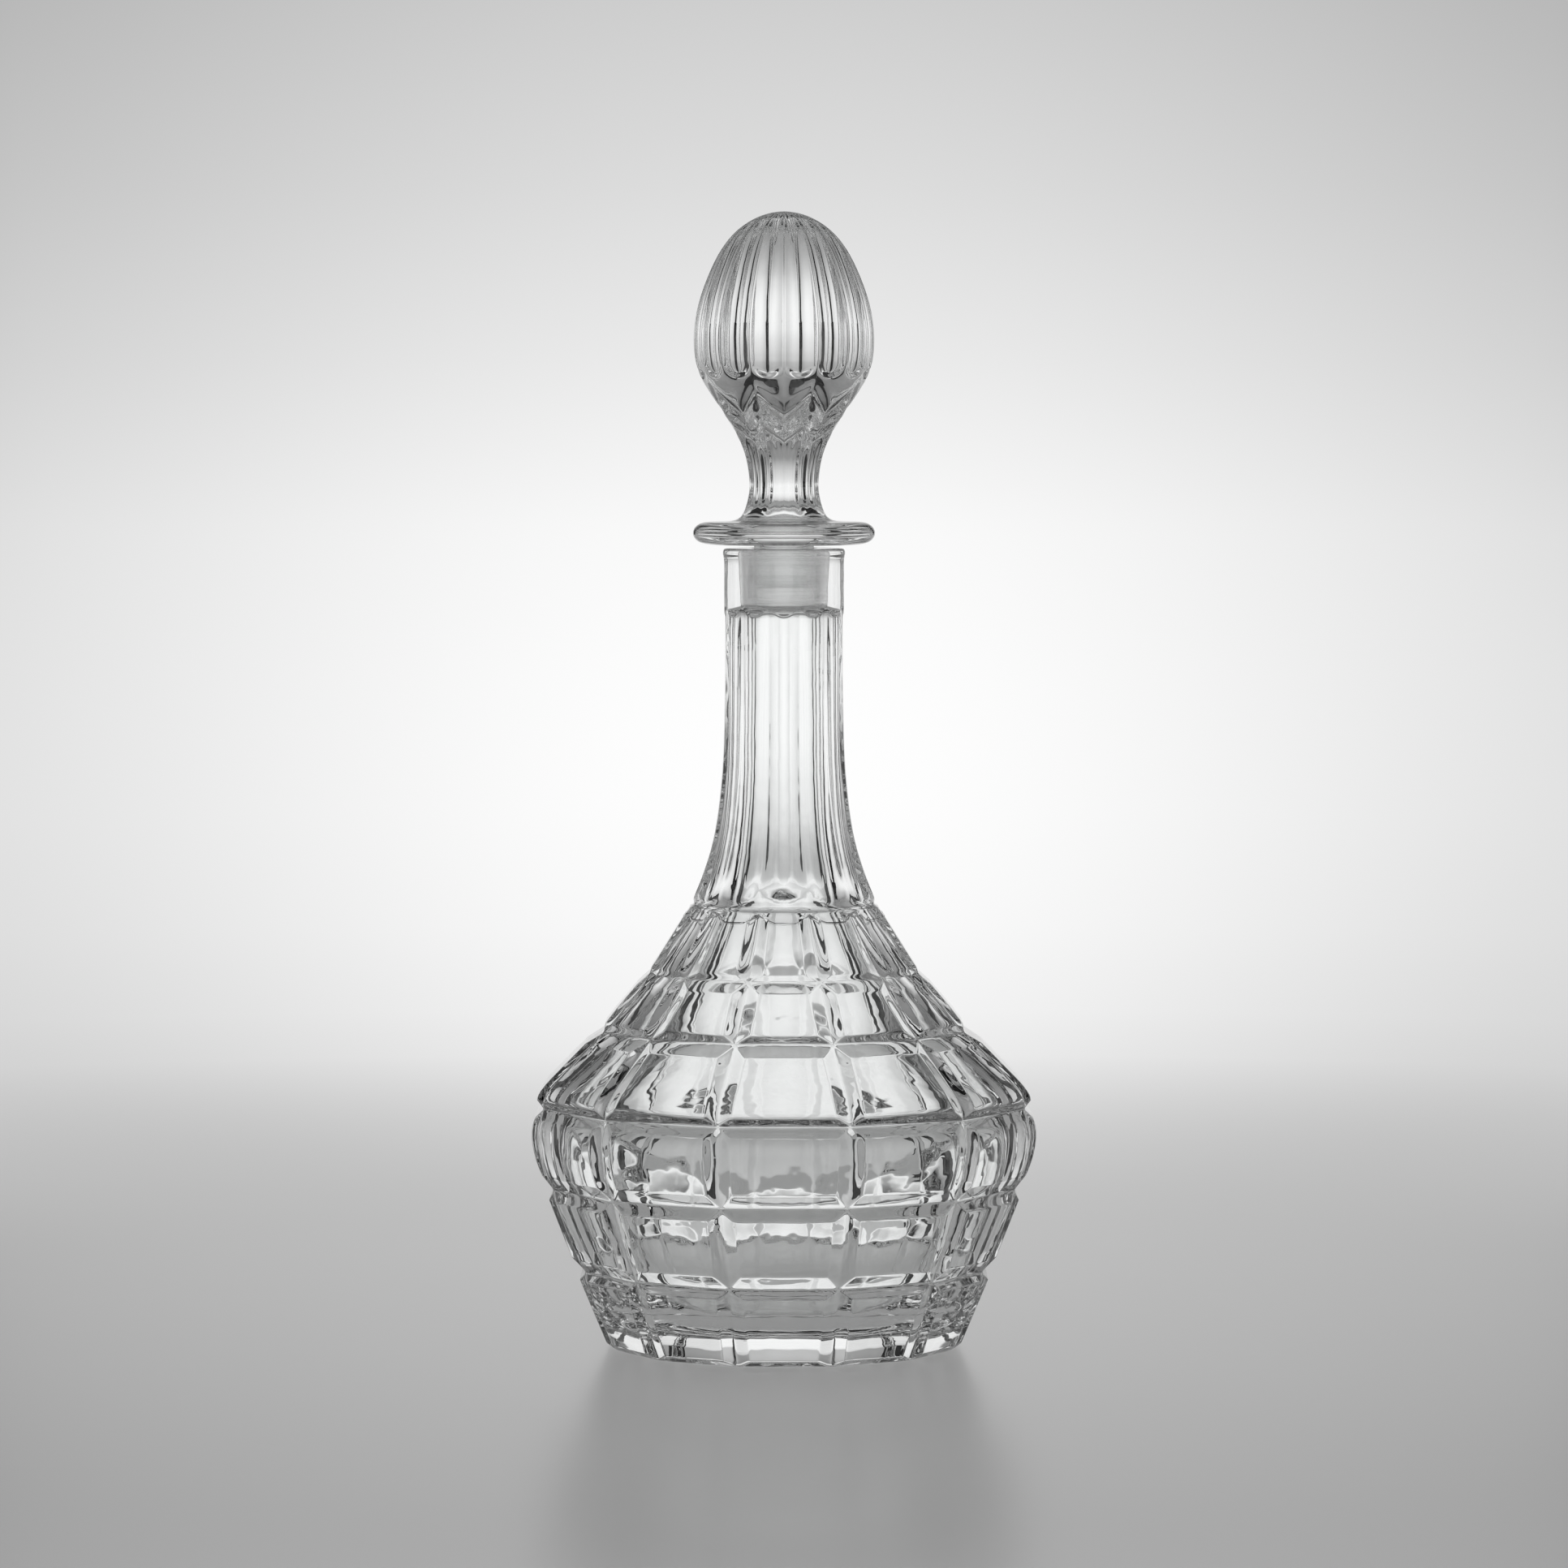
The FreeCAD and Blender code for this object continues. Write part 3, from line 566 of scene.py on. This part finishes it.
# where the flutes start, how far their round end climbs, and their run; millimetres
FLUTE_START, FLUTE_BOWL, FLUTE_RUN = 46.4, 3.2, 2.0
# where the flutes fade out round the tip, with the run, and the egg's widest; metres
FLUTE_TIP = (0.0035, 0.004)
EGG_RADIUS = 0.0254
# ridges kept crisp: the span of the knob, the flutes' lowest and the flats' highest; millimetres
RIDGE_SPAN = (8.0, 91.5)
FLUTE_RIDGES, FLAT_RIDGES = 49.0, 33.0
FLUTE_CREASE = 0.8
FLAT_CREASE = 0.7
# seams round the flare: height at the middle of a flat, climb to its corner, depth
ZIGZAGS = ((36.0, 7.0, 0.7), (28.5, 5.0, 0.5))
SEAM_WIDTH = 1.7
# fine upright streaks on the waist: how many round it, and their depth
STREAKS = 24
STREAK_DEPTH = 0.12
# half the turn of a flat and of a flute, in degrees
HALF_FLAT = 22.5
HALF_FLUTE = 11.25
KNOB_STEPS = 128


def finer(points, low, high, step):
    """Add points on the chain between two heights, no further apart than a step."""
    chain = []
    for (z0, r0), (z1, r1) in zip(points, points[1:]):
        cuts = max(1, math.ceil((z1 - z0) / step)) if low <= z0 < high else 1
        chain += [(z0 + (z1 - z0) * i / cuts, r0 + (r1 - r0) * i / cuts) for i in range(cuts)]
    return chain + [points[-1]]


def press_knob(bm, base, sizes):
    """Press the eight flats of the waist and the sixteen flutes of the egg."""
    full = 1 / math.cos(math.radians(HALF_FLAT)) - 1
    for vert in bm.verts:
        rise = (vert.co.z - base) / MM
        radius = vert.co.to_2d().length
        if rise < FLATS[0] or radius < SAME:
            continue
        turn = math.degrees(math.atan2(vert.co.y, vert.co.x))
        from_flat = (turn + HALF_FLAT) % (2 * HALF_FLAT) - HALF_FLAT
        # the round bulb stands out of an eight-sided flare: its edge dips at each flat
        swallowed = max((rise - BULB[0]) / BULB[1], 0.0)
        grow = max(1 / math.cos(math.radians(from_flat)) / (1 + full * swallowed) - 1, 0.0)
        foot = share_of(rise, *FLATS)
        # a flute is a round scoop that ends in a bowl at both ends
        across = ((turn % (2 * HALF_FLUTE)) - HALF_FLUTE) / HALF_FLUTE
        start = FLUTE_START + FLUTE_BOWL * across ** 2
        share = share_of(rise, start, FLUTE_RUN) * share_of(radius, *FLUTE_TIP)
        share = share * share * (3 - 2 * share)
        depth = sizes.flute_depth * (radius / EGG_RADIUS) * (1 - across ** 2) * share
        # two pressed seams zigzag round the flare, low at the middle of each flat
        across_flat = abs(from_flat) / HALF_FLAT
        for level, climb, deep in ZIGZAGS:
            depth += deep * MM * math.exp(-((rise - level - climb * across_flat) / SEAM_WIDTH) ** 2)
        waist = share_of(rise, *WAIST_LOW) * share_of(WAIST_TOP - rise, 0.0, WAIST_RUN)
        depth += STREAK_DEPTH * MM * waist * math.cos(math.radians(STREAKS * turn))
        move_to(vert, radius * (1 + grow * foot) - depth)


def on_ridge(vert, first, pitch):
    """Whether a vertex stands on one of the ridges, which are a pitch apart; degrees."""
    turn = math.degrees(math.atan2(vert.co.y, vert.co.x))
    return abs((turn - first + pitch / 2) % pitch - pitch / 2) < 0.01


def crease_knob(bm, base):
    """Keep the ridges between flutes and between flats crisp."""
    crease = bm.edges.layers.float.new("crease_edge")
    for edge in bm.edges:
        low, high = sorted((v.co.z - base) / MM for v in edge.verts)
        if high - low < 0.001 or low < RIDGE_SPAN[0] or high > RIDGE_SPAN[1]:
            continue
        if low > FLUTE_RIDGES and all(on_ridge(v, 0.0, 2 * HALF_FLUTE) for v in edge.verts):
            edge[crease] = FLUTE_CREASE
        if low < FLAT_RIDGES and all(on_ridge(v, HALF_FLAT, 2 * HALF_FLAT) for v in edge.verts):
            edge[crease] = FLAT_CREASE


def build_stopper(sizes, look, mouth):
    """The stopper: ground plug and disc, turned, under the pressed knob."""
    base = mouth + 0.001
    low = base - sizes.peg_length
    disc = sizes.disc_radius
    bm = bmesh.new()
    chain = [(r * MM, low + z * MM) for r, z in PLUG]
    chain += [(sizes.peg_radius - 0.00003, base - 0.0009), (sizes.peg_radius, base - 0.0003),
              (0.0087, base - 0.00002), (0.0098, base), (0.0150, base)]
    chain += [(disc - inward * MM, base + z * MM) for inward, z in DISC_EDGE]
    chain += [(0.0185, base + 0.00645)]
    chain += [(r * MM, base + z * MM) for z, r in finer(KNOB, 26.0, 54.0, 0.8)]
    spin(bm, outline(bm, chain), KNOB_STEPS)
    settle(bm)
    press_knob(bm, base, sizes)
    crease_knob(bm, base)
    glass = clear_glass("solid_glass", look, (low - 0.001, base - 0.0004, 0.0087))
    return finish(bm, "decanter_stopper", "stopper", "stopper", glass)


# -------------------------------------------------------------------- stage
# the tent, in metres: flat floor, bend up to the wall, upright wall, dome
FLOOR_EDGE = 0.9
COVE = 0.6
TENT_RADIUS = FLOOR_EDGE + COVE
WALL_TOP = 0.9
DOME_RISE = 1.1
TENT_TOP = WALL_TOP + DOME_RISE
# pools of light round the tent, with a black flag between each pair
POOLS = 8
# brightness from the middle of a seam to the middle of a pool
POOL_STOPS = [(0.0, 0.03), (0.045, 0.04), (0.10, 0.66), (0.3, 0.78), (1.0, 1.0)]
# brightness from the floor to the top of the dome
CLIMB_STOPS = [(0.0, 1.05), (0.10, 0.96), (0.14, 0.83), (0.18, 0.72), (0.225, 0.62), (0.27, 0.48),
               (0.34, 0.3), (0.5, 0.24), (0.78, 0.1), (0.85, 0.09), (0.93, 1.0)]
FLOOR_SHADE = 0.62
# half widths of the flags that stand on the bend and of those that lie on the floor, in degrees
STANDING_HALF = 5.2
LYING_HALF = 3.4


def cove(turns, gap=0.0):
    """Points up the bend from floor to wall, a gap inside the tent; turns in degrees."""
    return [(FLOOR_EDGE - gap + COVE * math.sin(math.radians(a)),
             COVE + gap - COVE * math.cos(math.radians(a))) for a in turns]


def tent_cloth(look):
    """Satin floor that fades into cloth with eight soft pools of light round it."""
    material = bpy.data.materials.new("studio_tent")
    nodes = Nodes(material)
    spot, (x, y, z) = nodes.place()
    radius = (x * x + y * y) ** 0.5
    # a darker seam stands between each pair of pools
    turn = nodes.value("ShaderNodeMath", {"operation": "ARCTAN2"}, {0: x, 1: y})
    pools = nodes.value("ShaderNodeMath", {"operation": "COSINE"}, {0: turn * float(POOLS)})
    pool = nodes.value("ShaderNodeValToRGB", {"stops": POOL_STOPS}, {0: pools * 0.5 + 0.5})
    high = nodes.value("ShaderNodeMapRange", {"clamp": True, "interpolation_type": "SMOOTHSTEP"},
                       {0: z, 1: 0.08, 2: 0.45, 3: 0.0, 4: 1.0})
    even = nodes.value("ShaderNodeMapRange", {"clamp": True}, {0: pools, 1: -1.0, 2: 1.0, 3: 0.72, 4: 1.0})
    pool = pool * high + even * (1 - high)
    climb = nodes.value("ShaderNodeValToRGB", {"stops": CLIMB_STOPS}, {0: z / TENT_TOP})
    cloth = nodes.add("ShaderNodeEmission", None, {"Color": pool * climb, "Strength": 1.0})
    floor = nodes.add("ShaderNodeBsdfPrincipled", None, {
        "Base Color": tuple(FLOOR_SHADE * part for part in look.floor) + (1,), "Roughness": 0.28,
        "IOR": 1.33, "Emission Color": tuple(look.floor) + (1,), "Emission Strength": 0.18})
    rise = nodes.value("ShaderNodeMapRange", {"clamp": True, "interpolation_type": "SMOOTHSTEP"},
                       {0: radius, 1: 0.30, 2: 1.30, 3: 0.0, 4: 1.0})
    surface = nodes.add("ShaderNodeMixShader", None, {0: rise, 1: floor.outputs[0], 2: cloth.outputs[0]})
    # from outside the tent is clear
    behind = nodes.add("ShaderNodeNewGeometry").outputs["Backfacing"]
    clear = nodes.add("ShaderNodeBsdfTransparent")
    both = nodes.add("ShaderNodeMixShader", None, {0: behind, 1: surface.outputs[0], 2: clear.outputs[0]})
    nodes.add("ShaderNodeOutputMaterial", None, {"Surface": both.outputs[0]})
    return material


def pitch_tent(look):
    """The floor, wall and dome round the decanter, in one turned surface."""
    chain = [(0.0, 0.0), (0.15, 0.0), (0.5, 0.0), (FLOOR_EDGE, 0.0)]
    chain += cove(range(10, 91, 10))
    chain += [(TENT_RADIUS, WALL_TOP)]
    chain += [(TENT_RADIUS * math.cos(math.radians(a)), WALL_TOP + DOME_RISE * math.sin(math.radians(a)))
              for a in range(10, 81, 10)]
    chain += [(0.0, TENT_TOP)]
    bm = bmesh.new()
    spin(bm, outline(bm, chain), 96)
    settle(bm)
    bmesh.ops.reverse_faces(bm, faces=bm.faces)
    smooth(bm)
    to_object(bm, "studio_tent", tent_cloth(look))


def hang_flags():
    """Black flags between the pools that shape the glass; the camera doesn't see them."""
    cloth = bpy.data.materials.new("black_cloth")
    nodes = Nodes(cloth)
    black = nodes.add("ShaderNodeBsdfDiffuse", None, {"Color": (0.01, 0.01, 0.01, 1)})
    nodes.add("ShaderNodeOutputMaterial", None, {"Surface": black.outputs[0]})
    sweep = cove(range(0, 41, 8), gap=0.005)
    standing = sweep[-1:] + [(1.28, 0.45), (1.28, 0.8)]
    lying = [(0.15, 0.002), (0.4, 0.002), (0.7, 0.003)] + sweep
    pitch = 360.0 / POOLS
    for name, side, half in (("standing_flags", standing, STANDING_HALF),
                             ("lying_flags", lying, LYING_HALF)):
        bm = bmesh.new()
        for flag in range(POOLS):
            strip = outline(bm, side, math.radians(pitch / 2 + pitch * flag - half))
            bmesh.ops.spin(bm, geom=strip, cent=(0, 0, 0), axis=(0, 0, 1), dvec=(0, 0, 0),
                           angle=math.radians(2 * half), space=Matrix.Identity(4), steps=4,
                           use_merge=False, use_normal_flip=False, use_duplicate=False)
        settle(bm)
        flags = to_object(bm, name, cloth)
        flags.visible_camera = flags.visible_diffuse = flags.visible_shadow = False
        flags.visible_glossy = name == "standing_flags"


def light_up():
    """A soft lamp over the decanter, and grey air outside the tent."""
    scene = bpy.context.scene
    lamp = bpy.data.lights.new("overhead_softbox", "AREA")
    lamp.shape, lamp.size = "DISK", 0.5
    lamp.energy = 2.6
    softbox = bpy.data.objects.new("overhead_softbox", lamp)
    scene.collection.objects.link(softbox)
    softbox.location = (0.0, 0.35, 0.9)
    softbox.visible_camera = softbox.visible_glossy = softbox.visible_transmission = False

    world = bpy.data.worlds.new("studio_air")
    scene.world = world
    nodes = Nodes(world)
    air = nodes.add("ShaderNodeBackground", None, {"Color": (0.75, 0.75, 0.75, 1), "Strength": 1.0})
    nodes.add("ShaderNodeOutputWorld", None, {"Surface": air.outputs[0]})


def set_camera():
    """A long lens in front of the decanter, and how light is followed through the glass."""
    scene = bpy.context.scene
    camera = bpy.data.cameras.new("studio_camera")
    camera.sensor_width = 36.0
    camera.lens = 172.2
    camera.clip_start, camera.clip_end = 0.05, 50.0
    eye = bpy.data.objects.new("studio_camera", camera)
    scene.collection.objects.link(eye)
    eye.location = (0.0, -2.11, 0.278)
    aim = Vector((0.0, 0.0, 0.159)) - eye.location
    eye.rotation_euler = aim.to_track_quat("-Z", "Y").to_euler()
    scene.camera = eye
    scene.view_settings.view_transform = "Standard"
    scene.view_settings.look = "None"
    scene.cycles.max_bounces = 28
    scene.cycles.transmission_bounces = 24
    scene.cycles.glossy_bounces = 8
    scene.cycles.transparent_max_bounces = 16
    scene.cycles.use_denoising = True
    scene.cycles.denoiser = "OPENIMAGEDENOISE"


def build_stage(look):
    """The studio: tent, flags, light and camera."""
    pitch_tent(look)
    hang_flags()
    light_up()
    set_camera()


# ---------------------------------------------------------------- operators
class DECANTER_OT_bottle(bpy.types.Operator):
    """Model the bottle: block-patterned body, panelled neck, collar, ground seat and cavity"""
    bl_idname = "decanter.bottle"
    bl_label = "Bottle"

    def execute(self, context):
        build_bottle(context.scene.decanter_bottle, context.scene.decanter_look)
        return {"FINISHED"}


class DECANTER_OT_stopper(bpy.types.Operator):
    """Model the solid stopper: ribbed egg knob, eight-sided waist, disc and ground plug"""
    bl_idname = "decanter.stopper"
    bl_label = "Stopper"

    def execute(self, context):
        scene = context.scene
        build_stopper(scene.decanter_stopper, scene.decanter_look, scene.decanter_bottle.mouth_height)
        return {"FINISHED"}


class DECANTER_OT_stage(bpy.types.Operator):
    """Set up the pale floor, the tent of soft light and the camera"""
    bl_idname = "decanter.stage"
    bl_label = "Studio"

    def execute(self, context):
        build_stage(context.scene.decanter_look)
        return {"FINISHED"}


class DECANTER_PT_panel(bpy.types.Panel):
    """Lists the decanter's pieces and settings"""
    bl_label = "Decanter"
    bl_idname = "DECANTER_PT_panel"
    bl_space_type = "VIEW_3D"
    bl_region_type = "UI"
    bl_category = "Decanter"

    def draw(self, context):
        column = self.layout.column()
        for operator, group in ((DECANTER_OT_bottle, "decanter_bottle"),
                                (DECANTER_OT_stopper, "decanter_stopper"),
                                (DECANTER_OT_stage, "decanter_look")):
            settings = getattr(context.scene, group)
            for key in settings.__annotations__:
                column.prop(settings, key)
            column.operator(operator.bl_idname)


GROUPS = {"decanter_bottle": DecanterBottleSizes, "decanter_stopper": DecanterStopperSizes,
          "decanter_look": DecanterLook}
CLASSES = tuple(GROUPS.values()) + (DECANTER_OT_bottle, DECANTER_OT_stopper, DECANTER_OT_stage,
                                    DECANTER_PT_panel)


def register():
    for cls in CLASSES:
        bpy.utils.register_class(cls)
    for key, group in GROUPS.items():
        setattr(bpy.types.Scene, key, bpy.props.PointerProperty(type=group))


def unregister():
    for key in GROUPS:
        delattr(bpy.types.Scene, key)
    for cls in reversed(CLASSES):
        bpy.utils.unregister_class(cls)


def main():
    register()
    bpy.ops.decanter.stage()
    bpy.ops.decanter.bottle()
    bpy.ops.decanter.stopper()


if __name__ == "__main__":
    main()
